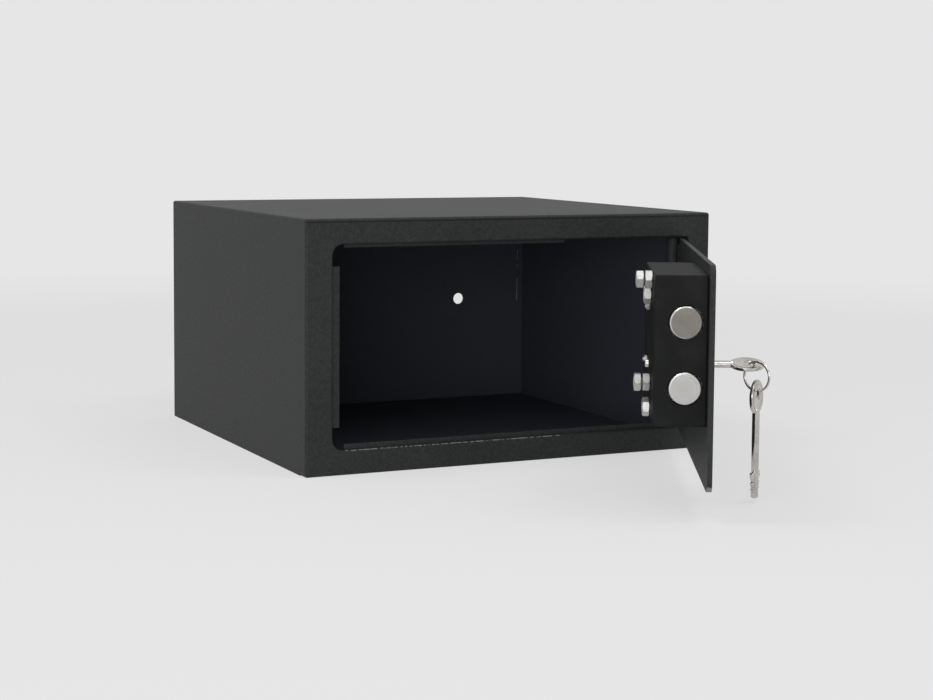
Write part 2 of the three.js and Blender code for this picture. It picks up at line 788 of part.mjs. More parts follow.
// A flat plate: its nose reaches the carriage, the window clears the key, and the notch
// under the window takes the rotor's crank pin
function lockBolt() {
  const nose = fromEdge(boltRear) + seatGap + carriageSheet + seatGap
  const keyX = fromEdge(keyFromEdge)
  const bodyStart = fromEdge(lockLeft) + lockSheet + boltThrow + slideGap
  const windowReach = bitRadius + windowClearance
  const rear = keyX + boltThrow + windowReach + lockBoltMargin
  const low = keyHeight - crankRadius - crankPinRadius - slideGap - lockBoltMargin
  const top = lockBoltNoseLow + lockBoltNoseHeight
  const arm = block(nose, rear, lockBoltFront, lockBoltBack, lockBoltNoseLow, top)
  const body = block(bodyStart, rear, lockBoltFront, lockBoltBack, low, top)
  const window = block(keyX - windowReach, keyX + boltThrow + windowReach,
    lockBoltFront - overcut, lockBoltBack + overcut, keyHeight - windowReach, keyHeight + windowReach)
  const crankX = keyX + boltThrow / 2
  const crankReach = crankPinRadius + crankSlotClearance
  const notch = block(
    crankX - crankReach, crankX + crankReach, lockBoltFront - overcut, lockBoltBack + overcut,
    keyHeight - crankRadius - crankPinRadius - slideGap, keyHeight)
  const tap = bar('x', nose - overcut, nose + linkScrewGrip + overcut, linkScrewRadius + nutBoreClearance,
    (lockBoltFront + lockBoltBack) / 2, lockBoltNoseLow + lockBoltNoseHeight / 2, 12)
  const socket = block(stumpX() - stumpSize / 2 - seatGap, stumpX() + stumpSize / 2 + seatGap,
    lockBoltBack - overcut, lockBoltBack + overcut,
    stumpHeight - stumpSize / 2 - seatGap, stumpHeight + stumpSize / 2 + seatGap)
  return cut(join(arm, body), window, notch, tap, socket)
}

function stumpX() {
  return fromEdge(keyFromEdge + stumpPastKey)
}

// The square post that passes through the gates of the levers
function stump() {
  const half = stumpSize / 2
  const end = leverFront + (keyCuts.length - 1) * leverPitch + leverThickness
  const y0 = lockBoltBack - overcut + seatGap
  return block(stumpX() - half, stumpX() + half, y0, end, stumpHeight - half, stumpHeight + half)
}

function linkScrew() {
  const x0 = fromEdge(boltRear) + seatGap
  const y = (lockBoltFront + lockBoltBack) / 2
  const z = lockBoltNoseLow + lockBoltNoseHeight / 2
  const headX = x0 - seatGap
  const tip = x0 + carriageSheet + seatGap + linkScrewGrip
  const shank = bar('x', headX - overcut, tip, linkScrewRadius, y, z, 12)
  return join(shank, bar('x', headX - linkHeadHeight, headX, linkHeadRadius, y, z, 16))
}

function addBolts(parent) {
  piece(parent, 'bolt_lower', roundBolt(boltHeights[0]), boltSteel())
  piece(parent, 'bolt_upper', roundBolt(boltHeights[1]), boltSteel())
  piece(parent, 'bolt_carriage', carriage(), rawSteel())
  piece(parent, 'bolt_screw_lower', boltScrew(boltHeights[0]), zinc())
  piece(parent, 'bolt_screw_upper', boltScrew(boltHeights[1]), zinc())
  piece(parent, 'lock_bolt', lockBolt(), brass())
  piece(parent, 'lock_stump', stump(), rawSteel())
  piece(parent, 'link_screw', linkScrew(), zinc())
}

// Levers: each has a window for the key with an upright entry for its bits, and two pockets
// joined by a gate that the stump can pass only when the lever stands at the right height

function liftOf(row) {
  return fullLift - keyCuts[row]
}

function leverY(row) {
  return leverFront + row * leverPitch
}

function lever(row) {
  const y0 = leverY(row)
  const y1 = y0 + leverThickness
  const lift = liftOf(row)
  const keyX = fromEdge(keyFromEdge)
  const x0 = fromEdge(lockLeft) + lockSheet + slideGap
  const x1 = fromEdge(lockLeft + lockWidth) - lockSheet - slideGap
  const sheet = plate(roundedRect(x0, x1, leverBottom, leverTop, leverCornerRadius), y0, y1, 4)
  const reach = bitRadius + windowClearance
  const bitTop = bitRadius - keyCuts[row] + windowClearance + lift
  const through = [y0 - overcut, y1 + overcut]
  const opening = roundedRect(
    keyX - reach, keyX + reach, keyHeight - reach, keyHeight + bitTop, leverWindowRadius)
  const window = plate(opening, ...through, 4)
  const halfBit = bitThickness / 2 + windowClearance
  const entry = block(keyX - halfBit, keyX + halfBit, ...through, keyHeight, keyHeight + reach + lift)
  const margin = stumpSize / 2 + slideGap
  const pocketLow = stumpHeight - margin - pocketClearance
  const pocketHigh = stumpHeight + margin + lift + pocketClearance
  const pockets = block(stumpX() - boltThrow - margin, stumpX() + margin, ...through, pocketLow, pocketHigh)
  const gateX = stumpX() - boltThrow / 2
  const gateSlope = (lift / boltThrow) * (gateBar + stumpSize) / 2
  const gateHalf = stumpSize / 2 + gateSlope + windowClearance / 2
  const gateZ = stumpHeight + lift / 2
  const teeth = [gateX - gateBar / 2, gateX + gateBar / 2, ...through]
  const lowerTooth = block(...teeth, pocketLow - overcut, gateZ - gateHalf)
  const upperTooth = block(...teeth, gateZ + gateHalf, pocketHigh + overcut)
  return cut(sheet, window, entry, cut(pockets, lowerTooth, upperTooth))
}

// A bowed leaf between the lever's top edge and the roof of the tray
function leverSpring(row) {
  const y0 = leverY(row) + springSideInset
  const y1 = leverY(row) + leverThickness - springSideInset
  const roof = lockBottom + lockHeight - lockSheet - seatGap
  const rise = roof - leverTop - seatGap - springSheet
  const half = springSpan / 2
  const radius = (half * half + rise * rise) / (2 * rise)
  const spread = Math.asin(half / radius)
  const centreZ = roof - springSheet - radius
  const centreX = fromEdge(lockLeft + lockWidth / 2)
  const outline = new THREE.Shape()
  outline.absarc(centreX, centreZ, radius + springSheet, Math.PI / 2 - spread, Math.PI / 2 + spread)
  outline.absarc(centreX, centreZ, radius, Math.PI / 2 + spread, Math.PI / 2 - spread, true)
  return plate(outline, y0, y1, 14)
}

function addLevers(parent) {
  keyCuts.forEach((_, row) => {
    piece(parent, `lever_${row + 1}`, lever(row), brass())
    piece(parent, `lever_spring_${row + 1}`, leverSpring(row), springSteel())
  })
}

// Key in its own frame: the shaft lies along Y with the bow towards -Y, and the bow and the
// bits are flat in YZ

function keySolid() {
  const bowCentre = -keyOutside + bowLength / 2
  const bow = new THREE.CylinderGeometry(1, 1, bowThickness, 40)
  bow.rotateZ(Math.PI / 2)
  bow.scale(1, bowLength / 2, bowWidth / 2)
  bow.translate(0, bowCentre, 0)
  const hole = bar('x', -bowThickness, bowThickness, bowHoleRadius, -keyOutside + bowHoleFromEnd, 0, 24)
  const shaftStart = -keyOutside + bowLength - bowShaftOverlap
  const profile = [
    [0, shaftStart],
    [keyShaftRadius, shaftStart],
    [keyShaftRadius, keyInside - keyPointHeight],
    [keyPointRadius, keyInside],
    [0, keyInside],
  ]
  const shaft = solidOf(turned(profile, 24))
  const bits = keyBits()
  return join(cut(solidOf(bow), hole), shaft, bits)
}

// Both bits carry the same steps, one for each lever
function keyBits() {
  const half = bitThickness / 2
  const sheet = block(-half, half, bitEnd - bitLength, bitEnd, -bitRadius, bitRadius)
  const pad = (leverPitch - leverThickness) / 2
  const notches = keyCuts.flatMap((depth, row) => {
    const from = leverY(row) - pad
    const to = from + leverPitch
    return [
      block(-bitThickness, bitThickness, from, to, bitRadius - depth, bitRadius + overcut),
      block(-bitThickness, bitThickness, from, to, -bitRadius - overcut, -bitRadius + depth),
    ]
  })
  return cut(sheet, ...notches)
}

// The rotor turns with the key and carries the crank pin
function rotor() {
  const hub = bar('y', lockFront - seatGap, coverBack + seatGap, rotorHubRadius, 0, 0, 36)
  const disc = bar('y', coverBack + seatGap, rotorBack, rotorRadius, 0, 0, 36)
  const pinX = -crankRadius * Math.sin(turn / 2)
  const pinZ = -crankRadius * Math.cos(turn / 2)
  const lobe = bar('y', rotorBack - lobeThickness, rotorBack, crankPinRadius + crankLobe, pinX, pinZ, 24)
  const pin = bar('y', rotorBack - overcut, lockBoltBack - seatGap, crankPinRadius, pinX, pinZ, 20)
  const halfWidth = bitThickness / 2 + slideGap
  const reach = bitRadius + slideGap
  const slot = block(-halfWidth, halfWidth, lockFront - overcut, rotorBack + overcut, -reach, reach)
  const bore = bar('y', lockFront - overcut, rotorBack + overcut, keyShaftRadius + slideGap, 0, 0, 24)
  return cut(join(hub, disc, lobe, pin), slot, bore)
}

function addKey(parent) {
  const turning = new THREE.Group()
  turning.position.set(fromEdge(keyFromEdge), 0, keyHeight)
  turning.rotation.y = -turn
  parent.add(turning)
  piece(turning, 'key', keySolid(), nickel())
  piece(turning, 'lock_rotor', rotor(), brass())
}

// The ring hangs upright through the bow, and the spare key hangs from the ring
function ringSolid() {
  const half = ringWidth / 2
  const c = ringEdge
  const inner = ringRadius - ringWire / 2
  const outer = ringRadius + ringWire / 2
  const section = [
    [inner, -half + c], [inner + c, -half], [outer - c, -half], [outer, -half + c],
    [outer, half - c], [outer - c, half], [inner + c, half], [inner, half - c], [inner, -half + c],
  ]
  const geometry = turned(section, 48)
  geometry.rotateZ(Math.PI / 2)
  return solidOf(geometry)
}

function addRing(parent) {
  const x = fromEdge(keyFromEdge) - ringAside
  const ring = piece(parent, 'key_ring', ringSolid(), nickel())
  ring.position.set(x, -ringFromDoor, keyHeight - ringDrop)
  ring.rotation.z = THREE.MathUtils.degToRad(-ringYaw)
  const hanging = new THREE.Group()
  const wireTop = keyHeight - ringDrop - ringRadius + ringWire / 2
  hanging.position.set(x, -ringFromDoor, wireTop + spareHang - bowHoleRadius)
  hanging.rotation.z = THREE.MathUtils.degToRad(90 - spareYaw)
  parent.add(hanging)
  const spare = piece(hanging, 'spare_key', keySolid(), nickel())
  spare.rotation.x = -Math.PI / 2
  spare.position.z = -keyOutside + bowHoleFromEnd
}

function build() {
  addBody(safe)
  const swing = new THREE.Group()
  swing.position.set(hingeX, hingeY, 0)
  swing.rotation.z = THREE.MathUtils.degToRad(doorAngle)
  safe.add(swing)
  const leaf = new THREE.Group()
  leaf.position.set(hingeInset, -hingeSetback, 0)
  swing.add(leaf)
  addDoor(leaf)
  addBolts(leaf)
  addLevers(leaf)
  addKey(leaf)
  addRing(leaf)
}

build()

export default safe
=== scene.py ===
import math

import bmesh
import bpy
from mathutils import Matrix, Vector


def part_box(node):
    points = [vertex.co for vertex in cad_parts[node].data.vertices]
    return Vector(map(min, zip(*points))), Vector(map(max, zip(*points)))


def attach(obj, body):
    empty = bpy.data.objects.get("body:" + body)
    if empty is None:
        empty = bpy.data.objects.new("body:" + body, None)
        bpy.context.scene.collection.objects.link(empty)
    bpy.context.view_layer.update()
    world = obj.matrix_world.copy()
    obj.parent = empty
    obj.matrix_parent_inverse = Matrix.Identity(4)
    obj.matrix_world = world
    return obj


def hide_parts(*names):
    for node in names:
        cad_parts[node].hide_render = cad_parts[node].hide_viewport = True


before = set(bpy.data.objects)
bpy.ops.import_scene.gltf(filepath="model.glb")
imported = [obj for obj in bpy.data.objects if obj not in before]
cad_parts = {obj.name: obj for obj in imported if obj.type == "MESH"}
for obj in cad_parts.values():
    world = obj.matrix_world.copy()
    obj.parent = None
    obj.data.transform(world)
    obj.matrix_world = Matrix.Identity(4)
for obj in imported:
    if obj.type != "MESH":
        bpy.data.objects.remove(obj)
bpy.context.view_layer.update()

print("frame loaded,", len(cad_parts), "nodes")


# A Wire is a socket that can be used in sums, a Graph is a tree that makes nodes

class Wire:
    def __init__(self, graph, socket):
        self.graph = graph
        self.socket = socket

    def calc(self, operation, first, second=0.0):
        return self.graph.add("ShaderNodeMath", {"operation": operation}, {0: first, 1: second})

    def __add__(self, other):
        return self.calc("ADD", self, other)

    def __radd__(self, other):
        return self.calc("ADD", other, self)

    def __sub__(self, other):
        return self.calc("SUBTRACT", self, other)

    def __rsub__(self, other):
        return self.calc("SUBTRACT", other, self)

    def __mul__(self, other):
        return self.calc("MULTIPLY", self, other)

    def __rmul__(self, other):
        return self.calc("MULTIPLY", other, self)

    def __truediv__(self, other):
        return self.calc("DIVIDE", self, other)

    def __pow__(self, other):
        return self.calc("POWER", self, other)

    def __gt__(self, other):
        return self.calc("GREATER_THAN", self, other)

    def __lt__(self, other):
        return self.calc("LESS_THAN", self, other)

    def __abs__(self):
        return self.calc("ABSOLUTE", self)


class Graph:
    def __init__(self, tree):
        self.tree = tree

    def add(self, kind, settings=None, values=None, output=0):
        made = self.tree.nodes.new(kind)
        for label, setting in (settings or {}).items():
            setattr(made, label, setting)
        for label, value in (values or {}).items():
            socket = made.inputs[label]
            if isinstance(value, Wire):
                self.tree.links.new(value.socket, socket)
            else:
                socket.default_value = value
        return Wire(self, made.outputs[output]) if made.outputs else made

    # Smooth step from 0 to 1 between two values
    def step(self, value, start, end):
        return self.add("ShaderNodeMapRange", {"interpolation_type": "SMOOTHSTEP"},
                        {"Value": value, "From Min": start, "From Max": end})

    def mixColour(self, factor, first, second):
        return self.add("ShaderNodeMix", {"data_type": "RGBA"}, {0: factor, 6: first, 7: second}, 2)

    def place(self):
        return self.add("ShaderNodeTexCoord", output="Object")

    def noise(self, place, scale, detail, rough, distortion=0.0):
        return self.add("ShaderNodeTexNoise", None, {
            "Vector": place, "Scale": scale, "Detail": detail, "Roughness": rough,
            "Distortion": distortion}, "Fac")

    def bump(self, height, strength, distance):
        return self.add("ShaderNodeBump", None, {
            "Height": height, "Strength": strength, "Distance": distance}, "Normal")

    def vector(self, x=0.0, y=0.0, z=0.0):
        return self.add("ShaderNodeCombineXYZ", None, {"X": x, "Y": y, "Z": z}, "Vector")

    def split(self, place):
        parts = self.add("ShaderNodeSeparateXYZ", None, {0: place}, "X").socket.node
        return [Wire(self, parts.outputs[axis]) for axis in "XYZ"]

    # A number from one or two vectors: their distance, dot product or length
    def measure(self, operation, first, second=(0.0, 0.0, 0.0)):
        return self.add("ShaderNodeVectorMath", {"operation": operation}, {0: first, 1: second}, "Value")

    # 1 for a ray of any of the kinds named
    def rays(self, *kinds):
        path = self.add("ShaderNodeLightPath", output=kinds[0]).socket.node
        total = Wire(self, path.outputs[kinds[0]])
        for kind in kinds[1:]:
            total = total + Wire(self, path.outputs[kind])
        return total


# Masks added up, each times its own share
def blended(masks, shares):
    total = masks[0] * shares[0]
    for mask, share in zip(masks[1:], shares[1:]):
        total = total + mask * share
    return total


# A level that noises move up and down, each by its own amount
def varied(level, noises, amounts):
    for noise, amount in zip(noises, amounts):
        level = level + (noise - 0.5) * amount
    return level


def between(value, ends):
    return (value > ends[0]) * (value < ends[1])


def newFinish(name):
    material = bpy.data.materials.new(name)
    material.use_nodes = True
    material.node_tree.nodes.clear()
    return material, Graph(material.node_tree)


def closeFinish(graph, **values):
    named = {label.replace("_", " "): value for label, value in values.items()}
    shader = graph.add("ShaderNodeBsdfPrincipled", None, named)
    graph.add("ShaderNodeOutputMaterial", None, {"Surface": shader})


# Finishes. A noise is given as its scale, detail and roughness, a bump as its strength and depth.

coat = {
    "outside": (0.0172, 0.0188, 0.0181, 1.0),
    "outsideLight": (0.0296, 0.0319, 0.0309, 1.0),
    # The inside tone is painted light: the same paint as outside, drawn lighter and bluer for the light that
    # reaches the interior
    "inside": (0.0590, 0.0635, 0.0800, 1.0),
    # The next tone is painted shade for the line where the front's edge turns back under the roof
    "foldShade": (0.0100, 0.0105, 0.0102, 1.0),
    # The next tone is pale: a painted highlight along the sill's edge, and the door's pale corner
    "paleMark": (0.21, 0.21, 0.20, 1.0),
    "grain": (950.0, 3.0, 0.65),
    "pebble": (420.0, 1.0, 0.4),
    "blot": (7.0, 3.0, 0.6),
    "toneShares": (0.35, 0.40, 0.25),  # of blot, pebble and grain
    "toneEnds": (0.36, 0.64),
    "roughness": 0.55,
    "roughMoves": (0.25, 0.12),  # by grain and blot
    "gloss": 0.175,
    "bumpShares": (0.4, 0.6),  # of grain and pebble
    "bump": (0.7, 0.0009),
    "paleCornerEnds": (0.0034, 0.0044),
    "paleCornerRagged": 0.003,
}

# Where the body's coat changes and its painted light and shade go, in metres: X and Y from the middle, Z from
# the foot
zone = {
    "fadeY": (-0.1840, -0.1640),
    "backY": 0.1865,
    "sideX": 0.199,
    "innerZ": (0.001, 0.219),
    "foldZ": (0.2164, 0.2178),
    "foldY": -0.1866,
    "sillZ": (0.0208, 0.0217),
    "sillY": -0.1862,
    "sillMiddleX": -0.06,
    "sillHalf": 0.105,
    "sillPebble": (0.38, 0.55),
}


def powderCoat(name, hasInside, paleCorner=None):
    material, graph = newFinish(name)
    place = graph.place()
    grain = graph.noise(place, *coat["grain"])
    pebble = graph.noise(place, *coat["pebble"])
    blot = graph.noise(place, *coat["blot"])
    light = graph.step(blended((blot, pebble, grain), coat["toneShares"]), *coat["toneEnds"])
    tone = graph.mixColour(light, coat["outside"], coat["outsideLight"])
    if hasInside:
        # Painted light: inside the body the same coat is painted lighter and bluer, for the light on the
        # interior walls
        across, along, up = graph.split(place)
        deep = graph.step(along, *zone["fadeY"]) * (along < zone["backY"])
        paintedInsideLight = deep * (abs(across) < zone["sideX"]) * between(up, zone["innerZ"])
        tone = graph.mixColour(paintedInsideLight, tone, coat["inside"])
        # Painted shade: a dark line where the front's edge turns back under the roof
        foldShade = between(up, zone["foldZ"]) * (along < zone["foldY"])
        tone = graph.mixColour(foldShade, tone, coat["foldShade"])
        # Painted highlight: a pale dotted line along the sill's rounded edge, where it catches the light
        sillHighlight = between(up, zone["sillZ"]) * (along < zone["sillY"])
        sillHighlight = sillHighlight * (abs(across - zone["sillMiddleX"]) < zone["sillHalf"])
        tone = graph.mixColour(sillHighlight * graph.step(pebble, *zone["sillPebble"]), tone, coat["paleMark"])
    if paleCorner is not None:
        away = graph.measure("DISTANCE", place, paleCorner) + (pebble - 0.5) * coat["paleCornerRagged"]
        tone = graph.mixColour(1.0 - graph.step(away, *coat["paleCornerEnds"]), tone, coat["paleMark"])
    closeFinish(
        graph, Base_Color=tone, Roughness=varied(coat["roughness"], (grain, blot), coat["roughMoves"]),
        Specular_IOR_Level=coat["gloss"],
        Normal=graph.bump(blended((grain, pebble), coat["bumpShares"]), *coat["bump"]))
    return material


satin = {
    "base": (0.0115, 0.0117, 0.0121, 1.0),
    "worn": (0.0180, 0.0183, 0.0188, 1.0),
    # Painted shadow along the case's foot, beside the leaf
    "footShade": (0.0020, 0.0020, 0.0020, 1.0),
    "footShadeEnds": (0.00098, 0.00182),
    "fine": (520.0, 2.0, 0.5),
    "cloud": (26.0, 4.0, 0.6),
    "wornEnds": (0.45, 0.75),
    "roughness": 0.58,
    "roughMoves": (0.18, 0.08),  # by cloud and fine
    "gloss": 0.055,
    "bump": (0.25, 0.00008),
}


# The case's foot, where it stands on the leaf, is painted dark: painted shadow for the gap between case and
# leaf
def satinPaint(name, heading, footAt):
    material, graph = newFinish(name)
    place = graph.place()
    start, end = (footAt + reach for reach in satin["footShadeEnds"])
    footShade = 1.0 - graph.step(graph.measure("DOT_PRODUCT", place, heading), start, end)
    fine = graph.noise(place, *satin["fine"])
    cloud = graph.noise(place, *satin["cloud"])
    tone = graph.mixColour(graph.step(cloud, *satin["wornEnds"]), satin["base"], satin["worn"])
    tone = graph.mixColour(footShade, tone, satin["footShade"])
    closeFinish(
        graph, Base_Color=tone, Roughness=varied(satin["roughness"], (cloud, fine), satin["roughMoves"]),
        Specular_IOR_Level=satin["gloss"], Normal=graph.bump(fine, *satin["bump"]))
    return material


metals = {
    "zincPlate": {
        "light": (0.55, 0.545, 0.53, 1.0), "dark": (0.38, 0.38, 0.37, 1.0),
        "roughness": 0.46, "scratches": 1500.0, "depth": 0.00005},
    "nickelPlate": {
        "light": (0.60, 0.575, 0.545, 1.0), "dark": (0.44, 0.42, 0.40, 1.0),
        "roughness": 0.19, "scratches": 2200.0, "depth": 0.00002},
    "coldRolledSteel": {
        "light": (0.42, 0.43, 0.44, 1.0), "dark": (0.30, 0.31, 0.32, 1.0),
        "roughness": 0.40, "scratches": 900.0, "depth": 0.00004},
    "lockBrass": {
        "light": (0.60, 0.42, 0.17, 1.0), "dark": (0.45, 0.31, 0.12, 1.0),
        "roughness": 0.36, "scratches": 900.0, "depth": 0.00004},
    "springSteel": {
        "light": (0.22, 0.23, 0.25, 1.0), "dark": (0.13, 0.13, 0.15, 1.0),
        "roughness": 0.30, "scratches": 1200.0, "depth": 0.00002},
}

# What all the metals share
metalSurface = {
    "cloud": (60.0, 4.0, 0.62),
    "spots": (540.0, 2.0, 0.5),
    "scratches": (3.0, 0.6, 0.6),  # detail, roughness and distortion
    "toneShares": (0.7, 0.3),  # of cloud and spots
    "toneEnds": (0.38, 0.68),
    "roughMoves": (0.22, 0.14),  # by cloud and scratches
    "bumpShares": (0.7, 0.3),  # of scratches and cloud
    "bumpStrength": 0.35,
}


def bareMetal(name):
    metal, surface = metals[name], metalSurface
    material, graph = newFinish(name)
    place = graph.place()
    cloud = graph.noise(place, *surface["cloud"])
    scratches = graph.noise(place, metal["scratches"], *surface["scratches"])
    spots = graph.noise(place, *surface["spots"])
    dark = graph.step(blended((cloud, spots), surface["toneShares"]), *surface["toneEnds"])
    height = blended((scratches, cloud), surface["bumpShares"])
    closeFinish(
        graph, Base_Color=graph.mixColour(dark, metal["light"], metal["dark"]), Metallic=1.0,
        Roughness=varied(metal["roughness"], (cloud, scratches), surface["roughMoves"]),
        Normal=graph.bump(height, surface["bumpStrength"], metal["depth"]))
    return material


bodyCoat = powderCoat("bodyPowderCoat", True)
zincPlate = bareMetal("zincPlate")
nickelPlate = bareMetal("nickelPlate")
rawSteel = bareMetal("coldRolledSteel")
lockBrass = bareMetal("lockBrass")
springSteel = bareMetal("springSteel")
hingeCoat = powderCoat("weldUnderPaint", False)


# Where the door stands: its leaf hangs at this pivot, turned by this angle.
# The pale corner is measured from the free edge, into the plate, and up from the floor.

leaf = {
    "pivotX": 0.1665, "pivotY": -0.1775, "angle": 62.0, "inset": 0.008, "setback": 0.010,
    "width": 0.348, "thickness": 0.004, "paleCorner": (0.0015, 0.002, 0.0240),
}
leafMatrix = (
    Matrix.Translation((leaf["pivotX"], leaf["pivotY"], 0.0))
    @ Matrix.Rotation(math.radians(leaf["angle"]), 4, "Z")
    @ Matrix.Translation((leaf["inset"], -leaf["setback"], 0.0)))
inward = (leafMatrix.to_3x3() @ Vector((0.0, 1.0, 0.0))).normalized()
towardsEdge = (leafMatrix.to_3x3() @ Vector((-1.0, 0.0, 0.0))).normalized()


# A point of the door: from the hinge edge, into the door, and up
def onLeaf(x, depth, up):
    return leafMatrix @ Vector((x, depth, up))


caseCoat = satinPaint("lockCasePaint", inward, inward.dot(onLeaf(0.0, leaf["thickness"], 0.0)))
# The door's lower free corner is painted a pale patch
fromFreeEdge, intoPlate, aboveFloor = leaf["paleCorner"]
doorCoat = powderCoat("doorPowderCoat", False, onLeaf(fromFreeEdge - leaf["width"], intoPlate, aboveFloor))
print("finishes made")


def middleOf(node):
    low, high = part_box(node)
    return (Vector(low) + Vector(high)) / 2


# A matrix whose X axis points along a direction, Z kept up
def alongX(direction, centre):
    first = direction.normalized()
    third = Vector((0.0, 0.0, 1.0))
    second = third.cross(first)
    turned = Matrix((first, second, third)).transposed().to_4x4()
    return Matrix.Translation(centre) @ turned


def smoothByAngle(mesh, degrees):
    mesh.polygons.foreach_set("use_smooth", [True] * len(mesh.polygons))
    mesh.set_sharp_from_angle(angle=math.radians(degrees))


def newThing(name, data):
    thing = bpy.data.objects.new(name, data)
    bpy.context.scene.collection.objects.link(thing)
    return thing


def meshOf(name, builder):
    mesh = bpy.data.meshes.new(name)
    builder.to_mesh(mesh)
    builder.free()
    return mesh


mergeGap = {"built": 1e-7, "copied": 2e-6}


# A mesh built here: its doubles merged, its faces turned outwards, then put in its place
def cleanMesh(name, builder, matrix=None):
    bmesh.ops.remove_doubles(builder, verts=builder.verts, dist=mergeGap["built"])
    bmesh.ops.recalc_face_normals(builder, faces=builder.faces)
    if matrix is not None:
        bmesh.ops.transform(builder, matrix=matrix, verts=builder.verts)
    return meshOf(name, builder)


# Faces over a grid of corners that closes on itself both ways
def closedSkin(builder, grid):
    count = len(grid[0])
    for here, there in zip(grid, grid[1:] + grid[:1]):
        for row in range(count):
            after = (row + 1) % count
            builder.faces.new((here[row], there[row], there[after], here[after]))


def addPiece(name, mesh, material, carrier, nodes=()):
    mesh.materials.clear()
    mesh.materials.append(material)
    piece = newThing(name, mesh)
    if nodes:
        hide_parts(*nodes)
    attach(piece, carrier)
    return piece


# Turns an object with modifiers into its plain mesh
def plainMesh(thing):
    graph = bpy.context.evaluated_depsgraph_get()
    mesh = bpy.data.meshes.new_from_object(thing.evaluated_get(graph))
    bpy.data.objects.remove(thing)
    return mesh


def evenNormals(mesh):
    thing = newThing(mesh.name, mesh)
    thing.modifiers.new("normals", "WEIGHTED_NORMAL").keep_sharp = True
    return plainMesh(thing)


def addBevel(thing, width, segments):
    edge = thing.modifiers.new("edges", "BEVEL")
    edge.width = width
    edge.segments = segments
    edge.limit_method = "ANGLE"
    return edge


# Sheet and plate: the CAD solid's own shape with its cut edges broken by a small round

rounding = {"flat": 0.6, "sharp": 35.0, "segments": 2, "smooth": 32.0}


def roundedCopy(name, node, width, material, carrier, sharp=rounding["sharp"],
                segments=rounding["segments"]):
    builder = bmesh.new()
    builder.from_mesh(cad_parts[node].data)
    bmesh.ops.remove_doubles(builder, verts=builder.verts, dist=mergeGap["copied"])
    bmesh.ops.dissolve_limit(
        builder, angle_limit=math.radians(rounding["flat"]), verts=builder.verts, edges=builder.edges)
    thing = newThing(name, meshOf(name, builder))
    edge = addBevel(thing, width, segments)
    edge.angle_limit = math.radians(sharp)
    edge.use_clamp_overlap = True
    edge.miter_outer = "MITER_ARC"
    finished = plainMesh(thing)
    smoothByAngle(finished, rounding["smooth"])
    finished = evenNormals(finished)
    finished.name = name
    return addPiece(name, finished, material, carrier, (node,))


body = {
    "edge": 0.0005,
    "pinEdge": 0.0004,
    "sheets": {
        "bodyShell": "body_wrap", "floorSheet": "floor_panel", "backSheet": "back_panel",
        "frontFace": "front_frame", "stopLeftStrip": "door_stop_left", "stopTopStrip": "door_stop_top",
        "stopBottomStrip": "door_stop_bottom", "hingeAngleTop": "hinge_bracket_top",
        "hingeAngleBottom": "hinge_bracket_bottom"},
    "pins": {"hingePinTop": "hinge_pin_top", "hingePinBottom": "hinge_pin_bottom"},
}
for pieceName, nodeName in body["sheets"].items():
    roundedCopy(pieceName, nodeName, body["edge"], bodyCoat, "body")
for pieceName, nodeName in body["pins"].items():
    roundedCopy(pieceName, nodeName, body["pinEdge"], hingeCoat, "body")
print("body done")

door = {
    "leafEdge": 0.0007, "leafSegments": 3, "tubeEdge": 0.0004, "plateEdge": 0.0003,
    "caseEdge": 0.0007, "caseSegments": 3, "caseSharp": 40.0,
}
roundedCopy("doorLeaf", "door_panel", door["leafEdge"], doorCoat, "door",
            segments=door["leafSegments"])
roundedCopy("hingeBarrel", "hinge_tube", door["tubeEdge"], doorCoat, "door")
roundedCopy("keyPlate", "key_escutcheon", door["plateEdge"], nickelPlate, "door")
roundedCopy("lockCaseShell", "lock_case", door["caseEdge"], caseCoat, "door",
            door["caseSharp"], door["caseSegments"])
print("door done")


# Nuts: a hexagon with both faces chamfered to a circle, and a countersunk bore

nut = {
    "case": {
        "flats": 0.013, "height": 0.0058, "bore": 0.0041, "steps": 72,
        "turns": {"top_1": 0.50, "top_2": 0.60, "upper_1": 0.15, "lower_1": 0.57, "lower_2": 0.49,
                  "bottom_1": 0.12}},
    "lock": {
        "flats": 0.0055, "height": 0.0024, "bore": 0.0016, "steps": 48,
        "turns": {"low": 0.2, "high": 0.73}},
    "faceShare": 0.94, "slope": 30.0, "sink": 0.0006, "soften": 0.00012, "smooth": 24.0,
}


def nutMesh(name, size, centre, spin):
    half, rise, bore = size["flats"] / 2, size["height"] / 2, size["bore"]
    face = half * nut["faceShare"]
    slope = math.tan(math.radians(nut["slope"]))
    sink, soften = nut["sink"], nut["soften"]
    side = math.pi / 3
    builder = bmesh.new()
    grid = []
    for step in range(size["steps"]):
        angle = 2 * math.pi * step / size["steps"]
        turned = (angle + side / 2) % side - side / 2
        flat = half / math.cos(turned)
        edge = rise - (flat - face) * slope
        section = [
            (bore, sink - rise), (bore + sink, -rise), (face, -rise),
            (flat - soften, -edge - soften * slope), (flat, soften - edge),
            (flat, edge - soften), (flat - soften, edge + soften * slope),
            (face, rise), (bore + sink, rise), (bore, rise - sink)]
        turn = angle + spin
        grid.append([builder.verts.new((depth, radius * math.cos(turn), radius * math.sin(turn)))
                     for radius, depth in section])
    closedSkin(builder, grid)
    mesh = cleanMesh(name, builder, alongX(inward, centre))
    smoothByAngle(mesh, nut["smooth"])
    return mesh


for kind in ("case", "lock"):
    for place, spin in nut[kind]["turns"].items():
        nodeName, pieceName = kind + "_nut_" + place, kind + "Nut_" + place
        nutPart = nutMesh(pieceName, nut[kind], middleOf(nodeName), spin)
        addPiece(pieceName, nutPart, zincPlate, "door", (nodeName,))
print("nuts done")


# A tree with named inputs; the modifier that runs it is turned into a plain mesh

